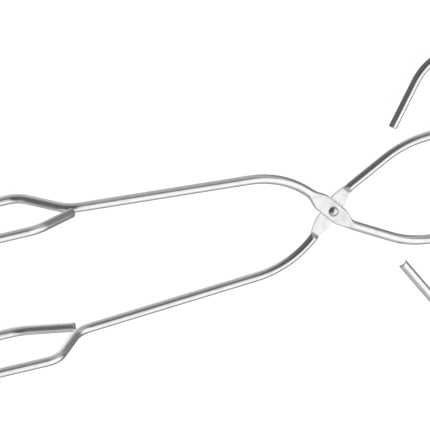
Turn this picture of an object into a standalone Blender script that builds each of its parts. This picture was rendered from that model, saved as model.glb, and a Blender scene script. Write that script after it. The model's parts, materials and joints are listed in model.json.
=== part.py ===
"""Scissor tongs bent from two round steel rods and joined by one rivet.

Both arms are the same bending: a wire jaw loop, a long arm, a forged flat with a hole,
and a finger ring. One arm is turned half a turn about the tongs' long axis, so that the
two flats lie face to face on the rivet.

The arms are drawn in the tongs' own axes: X along the tongs with the jaws at -X, Y across
them, and Z along the rivet, with zero where the two flats meet. The finished tongs are
then laid down, so that the jaws and the finger rings touch the plane z = 0.
"""

import math

import bmesh
import bpy
from mathutils import Vector

MM = 0.001

# Rod
ROD_DIAMETER = 4.5 * MM
END_CHAMFER = 0.45 * MM

# Forged flat around the rivet
FLAT_ANGLE = 47.5                  # from the tongs' long axis, in degrees
FLAT_WIDTH = 8.6 * MM
FLAT_THICKNESS = 1.9 * MM
FLAT_TO_JAW = 13.7 * MM            # length of the flat from the rivet towards the jaw
FLAT_TO_RING = 11.5 * MM           # length of the flat from the rivet towards the ring
FLAT_STEP = 1.8 * MM               # length of the ramp from the flat up to the round rod
FLAT_BLEND = 4.5 * MM              # length over which the outer side runs into the rod
FLAT_TAPER = 9.0 * MM              # length over which the flat narrows to the rod
FLAT_EDGE = 0.6 * MM

# Long arm, from the flat to the jaw
SHOULDER_REACH = 32.4 * MM         # rivet to the shoulder's corner, along the flat
SHOULDER_BEND = 47.5 * MM
ARM_SLOPE = 4.1                    # degrees that the arm runs outwards
ARM_REACH = 131.6 * MM             # rivet to the neck of the jaw, along the tongs

# Jaw loop, in a plane beside the tongs' middle
JAW_OFFSET = 34.2 * MM             # middle of the tongs to the loop's plane
JAW_LENGTH = 68.0 * MM             # neck to the round end
JAW_HEIGHT = 38.6 * MM             # across the loop, rod middle to rod middle
JAW_NECK = 18.0 * MM               # neck to the corner on the arm's side of the loop
JAW_CLOSING = 22.5 * MM            # neck to the corner on the free side of the loop
NECK_BEND = 13.0 * MM
JAW_CORNER_BEND = 12.5 * MM
JAW_CLOSING_BEND = 18.5 * MM
JAW_END_GAP = 0.4 * MM             # the loop's free end to the neck

# Finger ring, in the tongs' middle plane
SHANK_START = 13.0 * MM            # rivet to the bend at the end of the flat
SHANK_START_BEND = 18.0 * MM
SHANK_REACH = 37.7 * MM            # rivet to the ring's first corner, along the tongs
SHANK_OFFSET = 25.6 * MM           # the same corner, out from the middle
SHANK_BEND = 48.0 * MM
RING_SLOPE = 5.0                   # degrees that the ring's inner side runs outwards
RING_REACH = 90.0 * MM             # rivet to the ring's round end
RING_OFFSET = 68.0 * MM            # the ring's outer side, out from the middle
RING_CORNER = 54.3 * MM            # rivet to the ring's last corner, along the tongs
RING_CORNER_BEND = 25.5 * MM
RING_END_ANGLE = 57.3              # degrees between the free end and the tongs
RING_END_LENGTH = 38.6 * MM        # last corner to the free end

# Rivet
RIVET_DIAMETER = 3.2 * MM
HEAD_DIAMETER = 4.8 * MM
HEAD_HEIGHT = 1.25 * MM
HEAD_RIM = 0.25 * MM

# Clearances
FACE_GAP = 0.3 * MM                # flat to flat, and head to flat
HOLE_GAP = 0.2 * MM                # rivet to hole, all round

# Facets
ROD_SIDES = 16
BEND_STEP = 10.0                   # degrees of bend for each station
TAPER_STEPS = 6
RAMP_STEPS = 3
STATION_GAP = 0.05 * MM            # stations closer than this are one
RIVET_SIDES = 32
HEAD_RINGS = 5
SHARP_ANGLE = 40.0
WELD = 0.01 * MM                   # points closer than this are one

# Laying down
STEEPEST_TIP = 20.0                # degrees
TIP_HALVINGS = 40

STEEL = {"color": (0.62, 0.62, 0.61, 1.0), "metallic": 1.0, "roughness": 0.18}
RIVET_STEEL = {"color": (0.55, 0.55, 0.55, 1.0), "metallic": 1.0, "roughness": 0.12}


def clear_scene():
    for item in list(bpy.data.objects):
        bpy.data.objects.remove(item, do_unlink=True)


def make_material(name, look):
    material = bpy.data.materials.new(name)
    material.use_nodes = True
    shader = material.node_tree.nodes["Principled BSDF"]
    shader.inputs["Base Color"].default_value = look["color"]
    shader.inputs["Metallic"].default_value = look["metallic"]
    shader.inputs["Roughness"].default_value = look["roughness"]
    return material


# Bent rod ------------------------------------------------------------------------------

def line_piece(start, end):
    """A straight stretch, as its length, its stations and a point-and-direction function."""
    length = (end - start).length
    direction = (end - start).normalized()

    def along(distance):
        return start + direction * distance, direction

    return length, 1, along


def bend_piece(start, direction, towards, radius, turn):
    """A round bend that leaves start along direction and turns towards the other direction."""
    side = (towards - direction * towards.dot(direction)).normalized()
    centre = start + side * radius

    def along(distance):
        angle = distance / radius
        point = centre + (direction * math.sin(angle) - side * math.cos(angle)) * radius
        return point, direction * math.cos(angle) + side * math.sin(angle)

    steps = max(2, math.ceil(math.degrees(turn) / BEND_STEP))
    return radius * turn, steps, along


def bent_route(corners, bends):
    """Lines and bends through the corners; bends holds a radius for each inner corner."""
    pieces = []
    here = corners[0]
    for before, corner, after, radius in zip(corners, corners[1:], corners[2:], bends):
        arriving = (corner - before).normalized()
        leaving = (after - corner).normalized()
        turn = arriving.angle(leaving)
        setback = radius * math.tan(turn / 2)
        start = corner - arriving * setback
        if (start - here).length > WELD:
            pieces.append(line_piece(here, start))
        pieces.append(bend_piece(start, arriving, leaving, radius, turn))
        here = corner + leaving * setback
    pieces.append(line_piece(here, corners[-1]))
    return pieces


def point_on(pieces, distance):
    for length, _, along in pieces:
        if distance <= length:
            return along(max(distance, 0.0))
        distance -= length
    length, _, along = pieces[-1]
    return along(length)


def distance_to(pieces, target):
    """The distance along the route at which it passes closest to target."""
    travelled = 0.0
    best = (math.inf, 0.0)
    for length, _, along in pieces:
        start, direction = along(0.0)
        ahead = min(max((target - start).dot(direction), 0.0), length)
        miss = (along(ahead)[0] - target).length
        best = min(best, (miss, travelled + ahead))
        travelled += length
    return best[1]


def route_stations(pieces, extra):
    """Distances at which the rod gets a ring of points."""
    distances = [0.0]
    travelled = 0.0
    for length, steps, _ in pieces:
        distances += [travelled + length * step / steps for step in range(1, steps + 1)]
        travelled += length
    distances += extra + [END_CHAMFER, travelled - END_CHAMFER]
    kept = []
    for distance in sorted(distances):
        if not kept or distance - kept[-1] > STATION_GAP:
            kept.append(distance)
    return kept


def pair_radius(leg, first_turn, second_turn):
    """The largest radius that two bends at the ends of one leg can share."""
    return leg / (math.tan(math.radians(first_turn) / 2) + math.tan(math.radians(second_turn) / 2))


def arm_route():
    """The rod's middle line, from the ring's free end to the jaw loop's free end."""
    ring_run = RING_REACH - SHANK_REACH
    ring_inner = SHANK_OFFSET + ring_run * math.tan(math.radians(RING_SLOPE))
    end_angle = math.radians(RING_END_ANGLE)
    flat = Vector((math.cos(math.radians(FLAT_ANGLE)), -math.sin(math.radians(FLAT_ANGLE)), 0.0))
    shoulder = -flat * SHOULDER_REACH
    neck_offset = shoulder.y + (ARM_REACH + shoulder.x) * math.tan(math.radians(ARM_SLOPE))
    half_height = JAW_HEIGHT / 2
    jaw_end = -(ARM_REACH + JAW_LENGTH)
    free_end = Vector((
        RING_CORNER - RING_END_LENGTH * math.cos(end_angle),
        -RING_OFFSET + RING_END_LENGTH * math.sin(end_angle),
        0.0,
    ))
    ring_end_radius = pair_radius(RING_OFFSET - ring_inner, 90.0, 90.0 - RING_SLOPE)
    corners = [
        free_end,
        Vector((RING_CORNER, -RING_OFFSET, 0.0)),
        Vector((RING_REACH, -RING_OFFSET, 0.0)),
        Vector((RING_REACH, -ring_inner, 0.0)),
        Vector((SHANK_REACH, -SHANK_OFFSET, 0.0)),
        flat * SHANK_START,
        shoulder,
        Vector((-ARM_REACH, neck_offset, 0.0)),
        Vector((-ARM_REACH - JAW_NECK, JAW_OFFSET, -half_height)),
        Vector((jaw_end, JAW_OFFSET, -half_height)),
        Vector((jaw_end, JAW_OFFSET, half_height)),
        Vector((-ARM_REACH - JAW_CLOSING, JAW_OFFSET, half_height)),
        Vector((-ARM_REACH, neck_offset, ROD_DIAMETER + JAW_END_GAP)),
    ]
    bends = [
        RING_CORNER_BEND,
        ring_end_radius,
        ring_end_radius,
        SHANK_BEND,
        SHANK_START_BEND,
        SHOULDER_BEND,
        NECK_BEND,
        JAW_CORNER_BEND,
        half_height,
        half_height,
        JAW_CLOSING_BEND,
    ]
    return bent_route(corners, bends)


# Rod section ---------------------------------------------------------------------------

def ease(value):
    value = min(max(value, 0.0), 1.0)
    return value * value * (3.0 - 2.0 * value)


def mix(first, second, share):
    return first + (second - first) * share


def flatness(offset, past, run):
    """1 on the flat and 0 on the round rod, changing over run and ending past the flat."""
    reach = FLAT_TO_RING if offset > 0 else FLAT_TO_JAW
    return 1.0 - ease((abs(offset) - reach - past + run) / run)


def rod_section(offset, from_end):
    """Points across the rod as (across, up); offset runs from the rivet towards the ring."""
    facet = 2 * math.pi / ROD_SIDES
    # The faceted rod has the round rod's area, so its weight is true.
    radius = ROD_DIAMETER / 2 * math.sqrt(facet / math.sin(facet))
    radius -= max(END_CHAMFER - from_end, 0.0)
    inner = flatness(offset, FLAT_STEP, FLAT_STEP)
    outer = flatness(offset, FLAT_BLEND / 2, FLAT_BLEND)
    wide = flatness(offset, FLAT_BLEND / 2, FLAT_TAPER)
    half_width = mix(radius, FLAT_WIDTH / 2, wide)
    low = mix(-radius, FACE_GAP / 2, inner)
    high = mix(radius, FACE_GAP / 2 + FLAT_THICKNESS, outer)
    middle = mix(0.0, (FACE_GAP + FLAT_THICKNESS) / 2, inner)
    points = []
    for side in range(ROD_SIDES):
        angle = facet * (side + 0.5)
        upper = math.sin(angle) > 0
        height = high - middle if upper else middle - low
        square = outer if upper else inner
        edge_across = mix(half_width, FLAT_EDGE, square)
        edge_up = mix(height, FLAT_EDGE, square)
        across = math.copysign(half_width - edge_across, math.cos(angle))
        up = math.copysign(height - edge_up, math.sin(angle))
        across += edge_across * math.cos(angle)
        up += middle + edge_up * math.sin(angle)
        points.append((across, up))
    return points


def flat_stations():
    """Offsets from the rivet at which the flat changes shape."""
    marks = [0.0]
    for reach, sign in ((FLAT_TO_RING, 1), (FLAT_TO_JAW, -1)):
        end = reach + FLAT_BLEND / 2
        marks += [sign * (end - FLAT_TAPER * step / TAPER_STEPS) for step in range(TAPER_STEPS + 1)]
        marks += [sign * (reach + FLAT_STEP * step / RAMP_STEPS) for step in range(RAMP_STEPS + 1)]
    return marks


def swept_rod():
    """The arm's closed mesh, with a section at each station, carried along untwisted."""
    pieces = arm_route()
    total = sum(piece[0] for piece in pieces)
    rivet_at = distance_to(pieces, Vector((0.0, 0.0, 0.0)))
    stations = route_stations(pieces, [rivet_at - offset for offset in flat_stations()])
    spots = [point_on(pieces, distance) for distance in stations]
    start = min(range(len(stations)), key=lambda index: abs(stations[index] - rivet_at))
    ups = {start: Vector((0.0, 0.0, 1.0))}
    for index in range(start + 1, len(stations)):
        turn = spots[index - 1][1].rotation_difference(spots[index][1])
        ups[index] = turn @ ups[index - 1]
    for index in range(start - 1, -1, -1):
        turn = spots[index + 1][1].rotation_difference(spots[index][1])
        ups[index] = turn @ ups[index + 1]
    work = bmesh.new()
    rings = []
    for index, distance in enumerate(stations):
        point, direction = spots[index]
        side_way = direction.cross(ups[index]).normalized()
        section = rod_section(rivet_at - distance, min(distance, total - distance))
        rings.append([work.verts.new(point + side_way * x + ups[index] * z) for x, z in section])
    for ring, following in zip(rings, rings[1:]):
        for side in range(ROD_SIDES):
            after = (side + 1) % ROD_SIDES
            work.faces.new((ring[side], following[side], following[after], ring[after]))
    work.faces.new(rings[0])
    work.faces.new(rings[-1])
    return finished_mesh(work, "bent_arm")


# Rivet ---------------------------------------------------------------------------------

def rivet_outline():
    """Half of the rivet's section as (radius, height), from one head's crown to the other's."""
    seat = FACE_GAP / 2 + FLAT_THICKNESS + FACE_GAP
    dome = HEAD_HEIGHT - HEAD_RIM
    edge = HEAD_DIAMETER / 2
    ball = (edge ** 2 + dome ** 2) / (2 * dome)
    opening = math.asin(edge / ball)
    upper = []
    for step in range(HEAD_RINGS + 1):
        angle = opening * step / HEAD_RINGS
        rise = ball * math.cos(angle) - (ball - dome)
        upper.append((ball * math.sin(angle), seat + HEAD_RIM + rise))
    upper += [(edge, seat), (RIVET_DIAMETER / 2, seat)]
    return upper + [(radius, -height) for radius, height in reversed(upper)]


def turned_rivet():
    work = bmesh.new()
    points = [work.verts.new((radius, 0.0, height)) for radius, height in rivet_outline()]
    edges = [work.edges.new(pair) for pair in zip(points, points[1:])]
    bmesh.ops.spin(
        work,
        geom=points + edges,
        cent=(0.0, 0.0, 0.0),
        axis=(0.0, 0.0, 1.0),
        angle=2 * math.pi,
        steps=RIVET_SIDES,
        use_merge=True,
    )
    bmesh.ops.remove_doubles(work, verts=work.verts, dist=WELD)
    return finished_mesh(work, "rivet")


def finished_mesh(work, name):
    bmesh.ops.recalc_face_normals(work, faces=work.faces)
    mesh = bpy.data.meshes.new(name)
    work.to_mesh(mesh)
    work.free()
    mesh.shade_smooth()
    mesh.set_sharp_from_angle(angle=math.radians(SHARP_ANGLE))
    return mesh


# Assembly ------------------------------------------------------------------------------

def place(name, mesh, parent, material):
    piece = bpy.data.objects.new(name, mesh)
    bpy.context.collection.objects.link(piece)
    piece.parent = parent
    if not mesh.materials:
        mesh.materials.append(material)
    return piece


def hole_cutter(parent):
    """A wire cylinder on the rivet's axis that leaves the rivet its clearance."""
    work = bmesh.new()
    radius = RIVET_DIAMETER / 2 + HOLE_GAP
    both_flats = 2 * FLAT_THICKNESS + FACE_GAP
    bmesh.ops.create_cone(
        work,
        cap_ends=True,
        segments=RIVET_SIDES,
        radius1=radius,
        radius2=radius,
        depth=both_flats + 2 * FLAT_THICKNESS,
    )
    mesh = bpy.data.meshes.new("hole_cutter")
    work.to_mesh(mesh)
    work.free()
    cutter = bpy.data.objects.new("hole_cutter", mesh)
    bpy.context.collection.objects.link(cutter)
    cutter.parent = parent
    cutter.hide_render = True
    cutter.display_type = "WIRE"
    return cutter


def bore(arm, cutter):
    hole = arm.modifiers.new("rivet_hole", "BOOLEAN")
    hole.operation = "DIFFERENCE"
    hole.solver = "EXACT"
    hole.object = cutter


def lay_down(frame, pieces):
    """Tip the tongs until jaws and rings rest on z = 0, with the box's middle at the origin."""
    points = []
    for piece in pieces:
        turn = piece.rotation_euler.to_matrix()
        points += [turn @ vertex.co for vertex in piece.data.vertices]
    jaws = [point for point in points if point.x < 0]
    rings = [point for point in points if point.x > 0]

    def lowest(some, tip):
        return min(point.z * math.cos(tip) - point.x * math.sin(tip) for point in some)

    flatter = 0.0
    steeper = math.radians(STEEPEST_TIP)
    for _ in range(TIP_HALVINGS):
        tip = (flatter + steeper) / 2
        if lowest(jaws, tip) < lowest(rings, tip):
            flatter = tip
        else:
            steeper = tip
    frame.rotation_euler = (0.0, tip, 0.0)
    tipped = [frame.rotation_euler.to_matrix() @ point for point in points]
    low = [min(point[axis] for point in tipped) for axis in range(3)]
    high = [max(point[axis] for point in tipped) for axis in range(3)]
    frame.location = (-(low[0] + high[0]) / 2, -(low[1] + high[1]) / 2, -low[2])


def build_tongs():
    clear_scene()
    frame = bpy.data.objects.new("tongs_frame", None)
    bpy.context.collection.objects.link(frame)
    arm_mesh = swept_rod()
    steel = make_material("steel", STEEL)
    front_arm = place("front_arm", arm_mesh, frame, steel)
    back_arm = place("back_arm", arm_mesh, frame, steel)
    back_arm.rotation_euler = (math.pi, 0.0, 0.0)
    rivet = place("rivet", turned_rivet(), frame, make_material("rivet_steel", RIVET_STEEL))
    cutter = hole_cutter(frame)
    bore(front_arm, cutter)
    bore(back_arm, cutter)
    lay_down(frame, [front_arm, back_arm, rivet])


build_tongs()
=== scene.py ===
import json
import math

import bmesh
import bpy
from mathutils import Matrix, Vector


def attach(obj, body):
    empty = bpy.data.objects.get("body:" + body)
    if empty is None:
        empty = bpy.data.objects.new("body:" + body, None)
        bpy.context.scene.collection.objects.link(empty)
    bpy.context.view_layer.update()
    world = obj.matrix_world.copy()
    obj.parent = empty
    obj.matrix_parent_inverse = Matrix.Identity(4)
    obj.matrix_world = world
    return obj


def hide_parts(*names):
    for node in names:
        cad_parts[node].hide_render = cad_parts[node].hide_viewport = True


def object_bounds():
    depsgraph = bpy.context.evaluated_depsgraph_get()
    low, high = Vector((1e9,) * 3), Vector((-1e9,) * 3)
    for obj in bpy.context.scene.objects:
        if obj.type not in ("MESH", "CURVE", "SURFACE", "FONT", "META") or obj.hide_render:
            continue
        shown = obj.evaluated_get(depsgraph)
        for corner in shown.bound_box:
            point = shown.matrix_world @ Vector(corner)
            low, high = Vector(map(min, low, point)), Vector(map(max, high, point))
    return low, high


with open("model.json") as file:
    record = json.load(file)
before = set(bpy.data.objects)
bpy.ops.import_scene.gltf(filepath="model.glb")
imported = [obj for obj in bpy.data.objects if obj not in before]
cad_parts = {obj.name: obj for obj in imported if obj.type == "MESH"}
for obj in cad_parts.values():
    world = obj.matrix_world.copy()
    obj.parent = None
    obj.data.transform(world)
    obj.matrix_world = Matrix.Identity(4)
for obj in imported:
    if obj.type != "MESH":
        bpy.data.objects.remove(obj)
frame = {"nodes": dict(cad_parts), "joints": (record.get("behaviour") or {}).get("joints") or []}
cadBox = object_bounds()
print("frame loaded:", ", ".join(sorted(frame["nodes"])))

mm = 0.001
hinge = frame["joints"][0]
pivot = Vector(hinge["pos_m"])
# The tongs' own axes: X along them with the jaws at -X, Y across, Z along the rivet.
tongsAxes = Vector((0, 0, 1)).rotation_difference(Vector(hinge["axis"])).to_matrix().to_4x4()
turnedOver = Matrix.Rotation(math.pi, 4, "X")


# Bent rod: straight lines and round bends.
# Lengths in metres, angles in degrees. Every reach is measured from the rivet.
bentArm = {
    "rodDiameter": 4.5 * mm,
    "flatAngle": 47.5,
    "shoulderReach": 32.4 * mm,
    "shoulderBend": 47.5 * mm,
    "armSlope": 4.1,
    "armReach": 131.6 * mm,
    "jawOffset": 34.2 * mm,
    "jawLength": 68.0 * mm,
    "jawHeight": 38.6 * mm,
    "jawNeck": 18.0 * mm,
    "jawClosing": 22.5 * mm,
    "neckBend": 13.0 * mm,
    "jawCornerBend": 12.5 * mm,
    "jawClosingBend": 18.5 * mm,
    "jawEndGap": 0.4 * mm,
    "shankStart": 13.0 * mm,
    "shankStartBend": 18.0 * mm,
    "shankReach": 37.7 * mm,
    "shankOffset": 25.6 * mm,
    "shankBend": 48.0 * mm,
    "ringSlope": 5.0,
    "ringReach": 90.0 * mm,
    "ringOffset": 68.0 * mm,
    "ringCorner": 54.3 * mm,
    "ringCornerBend": 25.5 * mm,
    "ringEndAngle": 57.3,
    "ringEndLength": 38.6 * mm,
    "endRounding": 0.5 * mm,
    "endHollow": 0.03 * mm,
    "sides": 64,
    "degreesPerStation": 3.0,
    "longestStep": 6.0 * mm,
}

# The pressed flat around the rivet; zero height is where the two arms meet.
pressedFlat = {
    "halfWidth": 4.3 * mm,
    "innerFace": 0.15 * mm,
    "outerFace": 2.05 * mm,
    "toJaw": 13.7 * mm,
    "toRing": 11.5 * mm,
    "innerRamp": 1.33,         # rise of the inner ramp for each unit along the rod
    "outerRamp": 0.12,
    "rampSoftness": 0.25 * mm,
    "taper": 9.0 * mm,
    "taperPast": 2.25 * mm,
    "squareness": 12.0,
    "edgeSharpness": 11.0,
    "holeCutDepth": 8.2 * mm,
    "cornerCrowding": 0.7,     # draws the points across the rod towards its pressed edges
    "stationStep": 0.3 * mm,
    "holeRadius": 1.8 * mm,
    "holeSides": 64,
}


def linePiece(start, end):
    length = (end - start).length
    direction = (end - start).normalized()
    steps = max(1, math.ceil(length / bentArm["longestStep"]))
    return length, steps, lambda run: (start + direction * run, direction)


def bendPiece(start, arriving, leaving, radius):
    turn = arriving.angle(leaving)
    side = (leaving - arriving * leaving.dot(arriving)).normalized()
    centre = start + side * radius

    def along(run):
        angle = run / radius
        point = centre + (arriving * math.sin(angle) - side * math.cos(angle)) * radius
        return point, arriving * math.cos(angle) + side * math.sin(angle)

    steps = max(3, math.ceil(math.degrees(turn) / bentArm["degreesPerStation"]))
    return radius * turn, steps, along


def bentRoute(corners, radii):
    pieces = []
    here = corners[0]
    for before, corner, after, radius in zip(corners, corners[1:], corners[2:], radii):
        arriving = (corner - before).normalized()
        leaving = (after - corner).normalized()
        setback = radius * math.tan(arriving.angle(leaving) / 2)
        start = corner - arriving * setback
        if (start - here).length > 0.01 * mm:
            pieces.append(linePiece(here, start))
        pieces.append(bendPiece(start, arriving, leaving, radius))
        here = corner + leaving * setback
    pieces.append(linePiece(here, corners[-1]))
    return pieces


def sharedRadius(leg, firstTurn, secondTurn):
    # the largest radius that the bends at both ends of one leg can have
    halves = math.tan(math.radians(firstTurn) / 2) + math.tan(math.radians(secondTurn) / 2)
    return leg / halves


def armRoute():
    # the rod's middle line, from the finger ring's free end to the jaw loop's free end
    a = bentArm
    ringRun = a["ringReach"] - a["shankReach"]
    ringInner = a["shankOffset"] + ringRun * math.tan(math.radians(a["ringSlope"]))
    flatAngle = math.radians(a["flatAngle"])
    endAngle = math.radians(a["ringEndAngle"])
    alongFlat = Vector((math.cos(flatAngle), -math.sin(flatAngle), 0))
    shoulder = -alongFlat * a["shoulderReach"]
    neckRise = (a["armReach"] + shoulder.x) * math.tan(math.radians(a["armSlope"]))
    neckOffset = shoulder.y + neckRise
    half = a["jawHeight"] / 2
    jawEnd = -(a["armReach"] + a["jawLength"])
    freeEnd = Vector((
        a["ringCorner"] - a["ringEndLength"] * math.cos(endAngle),
        -a["ringOffset"] + a["ringEndLength"] * math.sin(endAngle),
        0,
    ))
    ringRadius = sharedRadius(a["ringOffset"] - ringInner, 90, 90 - a["ringSlope"])
    corners = [
        freeEnd,
        Vector((a["ringCorner"], -a["ringOffset"], 0)),
        Vector((a["ringReach"], -a["ringOffset"], 0)),
        Vector((a["ringReach"], -ringInner, 0)),
        Vector((a["shankReach"], -a["shankOffset"], 0)),
        alongFlat * a["shankStart"],
        shoulder,
        Vector((-a["armReach"], neckOffset, 0)),
        Vector((-a["armReach"] - a["jawNeck"], a["jawOffset"], -half)),
        Vector((jawEnd, a["jawOffset"], -half)),
        Vector((jawEnd, a["jawOffset"], half)),
        Vector((-a["armReach"] - a["jawClosing"], a["jawOffset"], half)),
        Vector((-a["armReach"], neckOffset, a["rodDiameter"] + a["jawEndGap"])),
    ]
    radii = [
        a["ringCornerBend"], ringRadius, ringRadius, a["shankBend"], a["shankStartBend"],
        a["shoulderBend"], a["neckBend"], a["jawCornerBend"], half, half, a["jawClosingBend"],
    ]
    return bentRoute(corners, radii)


def spotOn(pieces, run):
    for length, _, along in pieces:
        if run <= length:
            return along(max(run, 0))
        run -= length
    length, _, along = pieces[-1]
    return along(length)


def runToRivet(pieces):
    travelled = 0
    best = (math.inf, 0)
    for length, _, along in pieces:
        start, direction = along(0)
        ahead = min(max(-start.dot(direction), 0), length)
        best = min(best, (along(ahead)[0].length, travelled + ahead))
        travelled += length
    return best[1]


# Section of the rod: round, or pressed between two flat dies.
def ease(value):
    value = min(max(value, 0), 1)
    return value * value * (3 - 2 * value)


def softPast(value, softness):
    # 0 before zero and the value itself after it, with a soft turn between
    return (value + math.hypot(value, softness)) / 2 - softness / 2


def pressing(offset):
    # half width, squareness, and the two dies' heights; offset runs towards the ring
    f = pressedFlat
    radius = bentArm["rodDiameter"] / 2
    past = abs(offset) - (f["toRing"] if offset > 0 else f["toJaw"])
    wide = 1 - ease((past - f["taperPast"] + f["taper"]) / f["taper"])
    halfWidth = radius + (f["halfWidth"] - radius) * wide
    square = 2 + (f["squareness"] - 2) * wide
    low = f["innerFace"] - f["innerRamp"] * softPast(past, f["rampSoftness"])
    high = f["outerFace"] + f["outerRamp"] * softPast(past, f["rampSoftness"])
    return halfWidth, square, low, high


def sectionPoints(offset, shrink):
    f = pressedFlat
    radius = bentArm["rodDiameter"] / 2
    halfWidth, square, low, high = pressing(offset)
    flatness = ease((low + radius) / (f["innerFace"] + radius)) if low > -radius else 0
    middle = (min(high, radius) + max(low, -radius)) / 2
    halfHeight = (min(high, radius) - max(low, -radius)) / 2
    points = []
    for side in range(bentArm["sides"]):
        turn = 2 * math.pi * (side + 0.5) / bentArm["sides"]
        turn += f["cornerCrowding"] * flatness * math.sin(4 * turn) / 4
        across = halfWidth * math.cos(turn)
        up = halfHeight * math.sin(turn)
        reach = math.hypot(across, up)
        across /= reach
        up /= reach
        inside, outside = 0, 2 * (halfWidth + radius)
        for _ in range(26):
            ray = (inside + outside) / 2
            spread = abs(ray * across / halfWidth) ** square
            tall = abs((middle + ray * up) / radius) ** 2
            if spread + tall < 1:
                inside = ray
            else:
                outside = ray
        limits = [inside]
        if low > -radius * 1.3 and up < 0:
            limits.append((middle - low) / -up)
        if high < radius * 1.1 and up > 0:
            limits.append((high - middle) / up)
        sharp = f["edgeSharpness"]
        ray = sum(limit ** -sharp for limit in limits) ** (-1 / sharp)
        points.append((ray * across * (1 - shrink), middle + ray * up * (1 - shrink)))
    return points


def stationRuns(pieces, rivetRun):
    total = sum(piece[0] for piece in pieces)
    runs = [0]
    travelled = 0
    for length, steps, _ in pieces:
        runs += [travelled + length * step / steps for step in range(1, steps + 1)]
        travelled += length
    f = pressedFlat
    reach = max(f["toJaw"], f["toRing"]) + f["taperPast"] + 1 * mm
    count = math.ceil(reach / f["stationStep"])
    runs = [run for run in runs if abs(run - rivetRun) > reach + f["stationStep"]]
    runs += [rivetRun + f["stationStep"] * step for step in range(-count, count + 1)]
    rounding = bentArm["endRounding"]
    steps = [rounding * (1 - math.cos(math.pi / 2 * step / 6)) for step in range(1, 7)]
    runs = [run for run in runs if rounding * 1.5 < run < total - rounding * 1.5]
    return sorted(runs + [0, total] + steps + [total - step for step in steps])


def endShrink(fromEnd):
    rounding = bentArm["endRounding"]
    if fromEnd >= rounding:
        return 0
    inward = rounding - math.sqrt(rounding ** 2 - (rounding - fromEnd) ** 2)
    return inward / (bentArm["rodDiameter"] / 2)


def capEnd(work, ring):
    # closes a cut end with rings of quads round a small middle, very slightly hollow
    middle = sum((vert.co for vert in ring), Vector()) / len(ring)
    hollow = (ring[1].co - middle).cross(ring[0].co - middle).normalized()
    outer = ring
    for share in (0.75, 0.5, 0.25):
        depth = bentArm["endHollow"] * (1 - share)
        spots = [middle + (vert.co - middle) * share + hollow * depth for vert in ring]
        inner = [work.verts.new(spot) for spot in spots]
        for side, vert in enumerate(ring):
            after = (side + 1) % len(ring)
            work.faces.new((outer[side], outer[after], inner[after], inner[side]))
        outer = inner
    centre = work.verts.new(middle + hollow * bentArm["endHollow"])
    for side in range(len(ring)):
        after = (side + 1) % len(ring)
        work.faces.new((outer[side], outer[after], centre))


def bentArmMesh():
    pieces = armRoute()
    total = sum(piece[0] for piece in pieces)
    rivetRun = runToRivet(pieces)
    runs = stationRuns(pieces, rivetRun)
    spots = [spotOn(pieces, run) for run in runs]
    start = min(range(len(runs)), key=lambda index: abs(runs[index] - rivetRun))
    ups = {start: Vector((0, 0, 1))}
    for index in range(start + 1, len(runs)):
        ups[index] = spots[index - 1][1].rotation_difference(spots[index][1]) @ ups[index - 1]
    for index in range(start - 1, -1, -1):
        ups[index] = spots[index + 1][1].rotation_difference(spots[index][1]) @ ups[index + 1]

    work = bmesh.new()
    rings = []
    for index, run in enumerate(runs):
        point, direction = spots[index]
        side = direction.cross(ups[index]).normalized()
        section = sectionPoints(rivetRun - run, endShrink(min(run, total - run)))
        rings.append([work.verts.new(point + side * x + ups[index] * z) for x, z in section])
    uvs = work.loops.layers.uv.new("alongRod")
    sides = bentArm["sides"]
    around = math.pi * bentArm["rodDiameter"] / sides
    for index, (ring, following) in enumerate(zip(rings, rings[1:])):
        for side in range(sides):
            after = (side + 1) % sides
            face = work.faces.new((ring[side], following[side], following[after], ring[after]))
            corners = ((side, index), (side, index + 1), (side + 1, index + 1), (side + 1, index))
            for loop, (column, row) in zip(face.loops, corners):
                loop[uvs].uv = (column * around, runs[row])
    capEnd(work, rings[0])
    capEnd(work, list(reversed(rings[-1])))
    bmesh.ops.recalc_face_normals(work, faces=work.faces)
    mesh = bpy.data.meshes.new("bentArm")
    work.to_mesh(mesh)
    work.free()
    mesh.shade_smooth()
    return mesh


def holeCutter():
    work = bmesh.new()
    bmesh.ops.create_cone(
        work,
        cap_ends=True,
        segments=pressedFlat["holeSides"],
        radius1=pressedFlat["holeRadius"],
        radius2=pressedFlat["holeRadius"],
        depth=pressedFlat["holeCutDepth"],
    )
    mesh = bpy.data.meshes.new("holeCutter")
    work.to_mesh(mesh)
    work.free()
    cutter = bpy.data.objects.new("holeCutter", mesh)
    bpy.context.collection.objects.link(cutter)
    return cutter


def boredMesh(mesh):
    # the arm's mesh with the rivet's hole cut through its flat
    arm = bpy.data.objects.new("armBlank", mesh)
    bpy.context.collection.objects.link(arm)
    cutter = holeCutter()
    hole = arm.modifiers.new("rivetHole", "BOOLEAN")
    hole.operation = "DIFFERENCE"
    hole.solver = "EXACT"
    hole.object = cutter
    bpy.context.view_layer.update()
    evaluated = arm.evaluated_get(bpy.context.evaluated_depsgraph_get())
    bored = bpy.data.meshes.new_from_object(evaluated)
    bpy.data.objects.remove(arm)
    bpy.data.objects.remove(cutter)
    bored.shade_smooth()
    bored.set_sharp_from_angle(angle=math.radians(50))
    return bored


rivet = {
    "shankRadius": 1.6 * mm,
    "headRadius": 2.4 * mm,
    "headHeight": 1.25 * mm,
    "rimHeight": 0.25 * mm,
    "rimRounding": 0.12 * mm,
    "seat": 2.35 * mm,         # underside of each head, from where the flats meet
    "turns": 96,
    "domeRings": 18,
}


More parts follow.
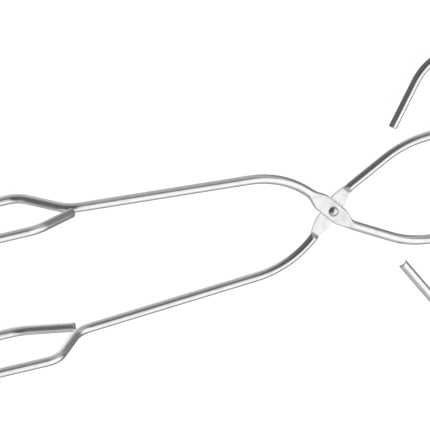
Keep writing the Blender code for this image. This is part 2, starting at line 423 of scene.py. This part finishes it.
def rivetProfile():
    r = rivet
    dome = r["headHeight"] - r["rimHeight"]
    edge = r["headRadius"]
    ball = (edge ** 2 + dome ** 2) / (2 * dome)
    opening = math.asin((edge - r["rimRounding"] / 2) / ball)
    half = []
    for step in range(r["domeRings"] + 1):
        angle = opening * step / r["domeRings"]
        rise = ball * math.cos(angle) - (ball - dome)
        half.append((ball * math.sin(angle), r["seat"] + r["rimHeight"] + rise))
    for step in range(5):
        angle = math.pi / 2 * step / 4
        inset = r["rimRounding"] * (1 - math.cos(angle))
        half.append((edge - inset, r["seat"] + r["rimRounding"] * (1 - math.sin(angle))))
    half.append((r["shankRadius"] + 0.1 * mm, r["seat"]))
    half.append((r["shankRadius"], r["seat"] - 0.1 * mm))
    return half + [(radius, -height) for radius, height in reversed(half)]


def rivetMesh():
    work = bmesh.new()
    points = [work.verts.new((radius, 0, height)) for radius, height in rivetProfile()]
    edges = [work.edges.new(pair) for pair in zip(points, points[1:])]
    bmesh.ops.spin(
        work,
        geom=points + edges,
        cent=(0, 0, 0),
        axis=(0, 0, 1),
        angle=2 * math.pi,
        steps=rivet["turns"],
        use_merge=True,
    )
    bmesh.ops.remove_doubles(work, verts=work.verts, dist=0.005 * mm)
    bmesh.ops.recalc_face_normals(work, faces=work.faces)
    mesh = bpy.data.meshes.new("rivet")
    work.to_mesh(mesh)
    work.free()
    mesh.shade_smooth()
    mesh.set_sharp_from_angle(angle=math.radians(50))
    return mesh


# Shader node groups and small helpers for them.
def newGroup(name, inputs, outputs):
    group = bpy.data.node_groups.new(name, "ShaderNodeTree")
    for label, kind, value in inputs:
        socket = group.interface.new_socket(label, in_out="INPUT", socket_type=kind)
        if value is not None:
            socket.default_value = value
    for label, kind in outputs:
        group.interface.new_socket(label, in_out="OUTPUT", socket_type=kind)
    return group, group.nodes.new("NodeGroupInput"), group.nodes.new("NodeGroupOutput")


def addNode(tree, kind, settings=None, values=None):
    node = tree.nodes.new(kind)
    for key, value in (settings or {}).items():
        setattr(node, key, value)
    for key, value in (values or {}).items():
        node.inputs[key].default_value = value
    return node


def mathNode(tree, operation, first, second=None, clamp=False):
    node = addNode(tree, "ShaderNodeMath", {"operation": operation, "use_clamp": clamp})
    for socket, value in zip(node.inputs, (first, second)):
        if isinstance(value, (int, float)):
            socket.default_value = value
        elif value is not None:
            tree.links.new(value, socket)
    return node.outputs[0]


def stretchedNoise(tree, vector, stretch, detail=3.0, roughness=0.55):
    place = addNode(tree, "ShaderNodeMapping", None, {"Scale": stretch})
    values = {"Detail": detail, "Roughness": roughness, "Scale": 1.0}
    noise = addNode(tree, "ShaderNodeTexNoise", None, values)
    tree.links.new(vector, place.inputs["Vector"])
    tree.links.new(place.outputs["Vector"], noise.inputs["Vector"])
    return noise.outputs["Fac"]


def drawnLinesGroup():
    # long fine die lines and soft waves that drawing leaves along a rod; the vector is in metres
    group, given, made = newGroup(
        "drawnLines",
        [("Vector", "NodeSocketVector", None), ("Line Width", "NodeSocketFloat", 0.1 * mm)],
        [("Lines", "NodeSocketFloat"), ("Waves", "NodeSocketFloat")],
    )
    scale = mathNode(group, "DIVIDE", 1.0, given.outputs["Line Width"])
    stretch = addNode(group, "ShaderNodeCombineXYZ")
    group.links.new(scale, stretch.inputs["X"])
    group.links.new(mathNode(group, "MULTIPLY", scale, 0.012), stretch.inputs["Y"])
    sized = addNode(group, "ShaderNodeVectorMath", {"operation": "MULTIPLY"})
    group.links.new(given.outputs["Vector"], sized.inputs[0])
    group.links.new(stretch.outputs["Vector"], sized.inputs[1])
    lines = addNode(group, "ShaderNodeTexNoise", None, {"Scale": 1.0, "Detail": 2.0, "Roughness": 0.6})
    group.links.new(sized.outputs["Vector"], lines.inputs["Vector"])
    waves = stretchedNoise(group, given.outputs["Vector"], (350, 45, 1), 1.5)
    group.links.new(lines.outputs["Fac"], made.inputs["Lines"])
    group.links.new(waves, made.inputs["Waves"])
    return group


def handlingGroup():
    # soft smudges, and short fine scratches in two directions; the vector is in metres
    group, given, made = newGroup(
        "handling",
        [("Vector", "NodeSocketVector", None), ("Scratch Amount", "NodeSocketFloat", 0.5)],
        [("Smudge", "NodeSocketFloat"), ("Scratch", "NodeSocketFloat")],
    )
    smudge = stretchedNoise(group, given.outputs["Vector"], (260, 260, 260), 4.0)
    marks = []
    for angle, offset in ((0.5, 0), (-0.9, 7)):
        placing = {"Rotation": (0, 0, angle), "Location": (offset, 0, 0)}
        turned = addNode(group, "ShaderNodeMapping", None, placing)
        group.links.new(given.outputs["Vector"], turned.inputs["Vector"])
        streak = stretchedNoise(group, turned.outputs["Vector"], (900, 9000, 900), 2.0)
        peaks = mathNode(group, "SUBTRACT", streak, 0.6, True)
        marks.append(mathNode(group, "MULTIPLY", peaks, 4.0, True))
    both = mathNode(group, "MAXIMUM", marks[0], marks[1])
    group.links.new(smudge, made.inputs["Smudge"])
    scratch = mathNode(group, "MULTIPLY", both, given.outputs["Scratch Amount"])
    group.links.new(scratch, made.inputs["Scratch"])
    return group


drawnLines = drawnLinesGroup()
handling = handlingGroup()


def groupNode(tree, group, vector, values=None):
    node = addNode(tree, "ShaderNodeGroup", {"node_tree": group}, values)
    tree.links.new(vector, node.inputs["Vector"])
    return node


def rangeNode(tree, value, low, high, toLow, toHigh, smooth=False):
    shape = "SMOOTHSTEP" if smooth else "LINEAR"
    node = addNode(tree, "ShaderNodeMapRange", {"interpolation_type": shape})
    for label, number in zip(("From Min", "From Max", "To Min", "To Max"), (low, high, toLow, toHigh)):
        node.inputs[label].default_value = number
    tree.links.new(value, node.inputs["Value"])
    return node.outputs["Result"]


def mixNode(tree, share, first, second):
    node = addNode(tree, "ShaderNodeMix", {"data_type": "FLOAT"})
    for socket, value in zip((node.inputs[0], node.inputs[2], node.inputs[3]), (share, first, second)):
        if isinstance(value, (int, float)):
            socket.default_value = value
        else:
            tree.links.new(value, socket)
    return node.outputs[0]


def newMaterial(name):
    material = bpy.data.materials.new(name)
    material.use_nodes = True
    tree = material.node_tree
    shader = tree.nodes["Principled BSDF"]
    shader.inputs["Metallic"].default_value = 1.0
    return material, tree, shader


armSteel = {
    "rodColor": (0.80, 0.80, 0.80, 1),
    "flatColor": (0.84, 0.84, 0.84, 1),
    "rodRoughness": (0.10, 0.17),
    "flatRoughness": (0.34, 0.46),
    "lineWidth": 0.09 * mm,
    "lineBump": 0.13,
    "waveBump": 0.5,
    "smudgeBump": 1.4,
    "scratchBump": -1.0,
    "flatStart": 12.8 * mm,    # the satin of the flat, from the rivet out
    "flatFade": 16.4 * mm,
}


def armSteelMaterial():
    s = armSteel
    material, tree, shader = newMaterial("armSteel")
    coordinates = addNode(tree, "ShaderNodeTexCoord")
    alongRod = addNode(tree, "ShaderNodeUVMap", {"uv_map": "alongRod"})
    lines = groupNode(tree, drawnLines, alongRod.outputs["UV"], {"Line Width": s["lineWidth"]})
    marks = groupNode(tree, handling, coordinates.outputs["Object"], {"Scratch Amount": 0.6})

    fromRivet = addNode(tree, "ShaderNodeVectorMath", {"operation": "LENGTH"})
    tree.links.new(coordinates.outputs["Object"], fromRivet.inputs[0])
    onFlat = rangeNode(tree, fromRivet.outputs["Value"], s["flatStart"], s["flatFade"], 1, 0, True)

    rodRough = rangeNode(tree, marks.outputs["Smudge"], 0.35, 0.7, *s["rodRoughness"])
    flatRough = rangeNode(tree, marks.outputs["Smudge"], 0.35, 0.7, *s["flatRoughness"])
    tree.links.new(mixNode(tree, onFlat, rodRough, flatRough), shader.inputs["Roughness"])

    tint = addNode(tree, "ShaderNodeMix", {"data_type": "RGBA"})
    tree.links.new(onFlat, tint.inputs["Factor"])
    tint.inputs[6].default_value = s["rodColor"]
    tint.inputs[7].default_value = s["flatColor"]
    shade = addNode(tree, "ShaderNodeMix", {"data_type": "RGBA", "blend_type": "MULTIPLY"})
    tree.links.new(tint.outputs[2], shade.inputs[6])
    grime = addNode(tree, "ShaderNodeMix", {"data_type": "RGBA"})
    grime.inputs[6].default_value = (1, 1, 1, 1)
    grime.inputs[7].default_value = (0.9, 0.89, 0.88, 1)
    tree.links.new(rangeNode(tree, marks.outputs["Smudge"], 0.45, 0.75, 0, 1), grime.inputs["Factor"])
    shade.inputs["Factor"].default_value = 1
    tree.links.new(grime.outputs[2], shade.inputs[7])
    tree.links.new(shade.outputs[2], shader.inputs["Base Color"])

    rodHeight = mathNode(
        tree, "ADD",
        mathNode(tree, "MULTIPLY", lines.outputs["Lines"], s["lineBump"]),
        mathNode(tree, "MULTIPLY", lines.outputs["Waves"], s["waveBump"]),
    )
    flatHeight = mathNode(
        tree, "ADD",
        mathNode(tree, "MULTIPLY", marks.outputs["Smudge"], s["smudgeBump"]),
        mathNode(tree, "MULTIPLY", marks.outputs["Scratch"], s["scratchBump"]),
    )
    bump = addNode(tree, "ShaderNodeBump", None, {"Strength": 0.35, "Distance": 0.05 * mm})
    tree.links.new(mixNode(tree, onFlat, rodHeight, flatHeight), bump.inputs["Height"])
    tree.links.new(bump.outputs["Normal"], shader.inputs["Normal"])
    return material


rivetSteel = {
    "color": (0.66, 0.66, 0.66, 1),
    "roughness": (0.10, 0.20),
    "ringSpacing": 0.16 * mm,
}


def rivetSteelMaterial():
    s = rivetSteel
    material, tree, shader = newMaterial("rivetSteel")
    shader.inputs["Base Color"].default_value = s["color"]
    coordinates = addNode(tree, "ShaderNodeTexCoord")
    marks = groupNode(tree, handling, coordinates.outputs["Object"], {"Scratch Amount": 0.3})
    split = addNode(tree, "ShaderNodeSeparateXYZ")
    tree.links.new(coordinates.outputs["Object"], split.inputs[0])
    squares = [mathNode(tree, "POWER", split.outputs[axis], 2.0) for axis in ("X", "Y")]
    fromAxis = mathNode(tree, "SQRT", mathNode(tree, "ADD", *squares))
    turns = mathNode(tree, "MULTIPLY", fromAxis, 2 * math.pi / s["ringSpacing"])
    turning = mathNode(tree, "SINE", turns)
    height = mathNode(
        tree, "ADD",
        mathNode(tree, "MULTIPLY", turning, 0.04),
        mathNode(tree, "MULTIPLY", marks.outputs["Scratch"], -0.3),
    )
    rough = rangeNode(tree, marks.outputs["Smudge"], 0.35, 0.7, *s["roughness"])
    tree.links.new(rough, shader.inputs["Roughness"])
    bump = addNode(tree, "ShaderNodeBump", None, {"Strength": 0.3, "Distance": 0.04 * mm})
    tree.links.new(height, bump.inputs["Height"])
    tree.links.new(bump.outputs["Normal"], shader.inputs["Normal"])
    return material


# The pieces on their bodies.
def addPiece(name, mesh, material, turn):
    # the turn goes into the mesh, so that each piece sits at the rivet with the frame's own axes
    mesh.transform(turn)
    piece = bpy.data.objects.new(name, mesh)
    bpy.context.collection.objects.link(piece)
    piece.location = pivot
    mesh.materials.clear()
    mesh.materials.append(material)
    return piece


armMesh = boredMesh(bentArmMesh())
steelOfArms = armSteelMaterial()
frontArm = addPiece("frontArm", armMesh.copy(), steelOfArms, tongsAxes)
backArm = addPiece("backArm", armMesh, steelOfArms, tongsAxes @ turnedOver)
rivetPiece = addPiece("rivetPiece", rivetMesh(), rivetSteelMaterial(), tongsAxes)

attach(frontArm, "front_half")
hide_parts("front_arm")
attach(backArm, "back_half")
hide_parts("back_arm")
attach(rivetPiece, "back_half")
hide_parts("rivet")
print("tongs made:", len(armMesh.polygons), "faces in each arm")


cameraPlace = {
    "azimuth": 209.5,
    "elevation": 61.35,
    "roll": 142.6,
    "lens": 1000.0,            # a long lens, so that the tongs look the same size all along
    "frameWidth": 203.9 * mm,  # what the frame holds across, at the rivet
    "rivetRight": 55.5 * mm,   # the rivet from the middle of the frame
    "rivetUp": 2.3 * mm,
}


def cameraTurn():
    # the camera's right, up and back directions, as the columns of a matrix
    azimuth = math.radians(cameraPlace["azimuth"])
    elevation = math.radians(cameraPlace["elevation"])
    back = Vector((
        math.sin(azimuth) * math.cos(elevation),
        -math.cos(azimuth) * math.cos(elevation),
        math.sin(elevation),
    ))
    roll = Matrix.Rotation(math.radians(cameraPlace["roll"]), 3, "Z")
    return (-back).to_track_quat("-Z", "Y").to_matrix() @ roll


def makeCamera():
    data = bpy.data.cameras.new("camera")
    data.lens = cameraPlace["lens"]
    data.clip_end = 100.0
    camera = bpy.data.objects.new("camera", data)
    bpy.context.collection.objects.link(camera)
    turn = cameraTurn()
    right, up, back = turn.col
    distance = cameraPlace["frameWidth"] * data.lens / data.sensor_width
    aim = pivot - right * cameraPlace["rivetRight"] - up * cameraPlace["rivetUp"]
    camera.matrix_world = Matrix.Translation(aim + back * distance) @ turn.to_4x4()
    bpy.context.scene.camera = camera


makeCamera()


floorLook = {"size": 8.0, "color": (0.40, 0.40, 0.40, 1), "glow": 0.86}


def makeFloor():
    work = bmesh.new()
    bmesh.ops.create_grid(work, x_segments=4, y_segments=4, size=floorLook["size"] / 2)
    mesh = bpy.data.meshes.new("floor")
    work.to_mesh(mesh)
    work.free()
    floor = bpy.data.objects.new("floor", mesh)
    bpy.context.collection.objects.link(floor)
    floor.location.z = cadBox[0].z
    material = bpy.data.materials.new("paleFloor")
    material.use_nodes = True
    shader = material.node_tree.nodes["Principled BSDF"]
    shader.inputs["Base Color"].default_value = floorLook["color"]
    shader.inputs["Roughness"].default_value = 0.9
    shader.inputs["Specular IOR Level"].default_value = 0.1
    shader.inputs["Emission Color"].default_value = (1, 1, 1, 1)
    shader.inputs["Emission Strength"].default_value = floorLook["glow"]
    mesh.materials.append(material)
    floor.visible_glossy = False   # the steel shows the studio all round, and not the floor


makeFloor()


# A white tent with soft cards. Each card says where its middle is, as the angle round the
# line of sight (0 is to the right, 90 up) and the angle away from the camera, then its
# radius and soft edge in degrees, and the brightness there.
studio = {
    "tent": 0.52,
    "backdrop": 1.0,
    "cards": {
        "behind": {"round": 338, "away": 159, "radius": 80, "edge": 19, "brightness": 0.24},
        "below": {"round": 258, "away": 85, "radius": 49, "edge": 22, "brightness": 0.58},
        "above": {"round": 114, "away": 83, "radius": 49, "edge": 16, "brightness": 0.51},
        "left": {"round": 172, "away": 67, "radius": 53, "edge": 32, "brightness": 0.15},
        "camera": {"round": 88, "away": 22, "radius": 38, "edge": 44, "brightness": 0.15},
        "key": {"round": 333, "away": 65, "radius": 41, "edge": 25, "brightness": 1.22},
        "rim": {"round": 124, "away": 129, "radius": 24, "edge": 34, "brightness": 1.16},
        "lens": {"round": 289, "away": 17, "radius": 22, "edge": 44, "brightness": 0.05},
        "strip": {"round": 162, "away": 135, "radius": 26, "edge": 38, "brightness": 1.60},
    },
}


def cardDirection(card):
    right, up, back = cameraTurn().col
    around = math.radians(card["round"])
    away = math.radians(card["away"])
    sideways = right * math.cos(around) + up * math.sin(around)
    return back * math.cos(away) + sideways * math.sin(away)


def makeStudio():
    world = bpy.data.worlds.new("studio")
    bpy.context.scene.world = world
    world.use_nodes = True
    tree = world.node_tree
    background = tree.nodes["Background"]
    coordinates = addNode(tree, "ShaderNodeTexCoord")
    level = studio["tent"]
    for card in studio["cards"].values():
        facing = addNode(tree, "ShaderNodeVectorMath", {"operation": "DOT_PRODUCT"})
        tree.links.new(coordinates.outputs["Generated"], facing.inputs[0])
        facing.inputs[1].default_value = cardDirection(card)
        angle = mathNode(tree, "ARCCOSINE", facing.outputs["Value"])
        inner = math.radians(card["radius"] - card["edge"] / 2)
        outer = math.radians(card["radius"] + card["edge"] / 2)
        share = rangeNode(tree, angle, inner, outer, 1, 0, True)
        level = mixNode(tree, share, level, card["brightness"])
    seen = addNode(tree, "ShaderNodeLightPath")
    level = mixNode(tree, seen.outputs["Is Camera Ray"], level, studio["backdrop"])
    tree.links.new(level, background.inputs["Strength"])
    background.inputs["Color"].default_value = (1, 1, 1, 1)
    bpy.context.scene.view_settings.view_transform = "Standard"


makeStudio()
print("camera, floor and studio made")
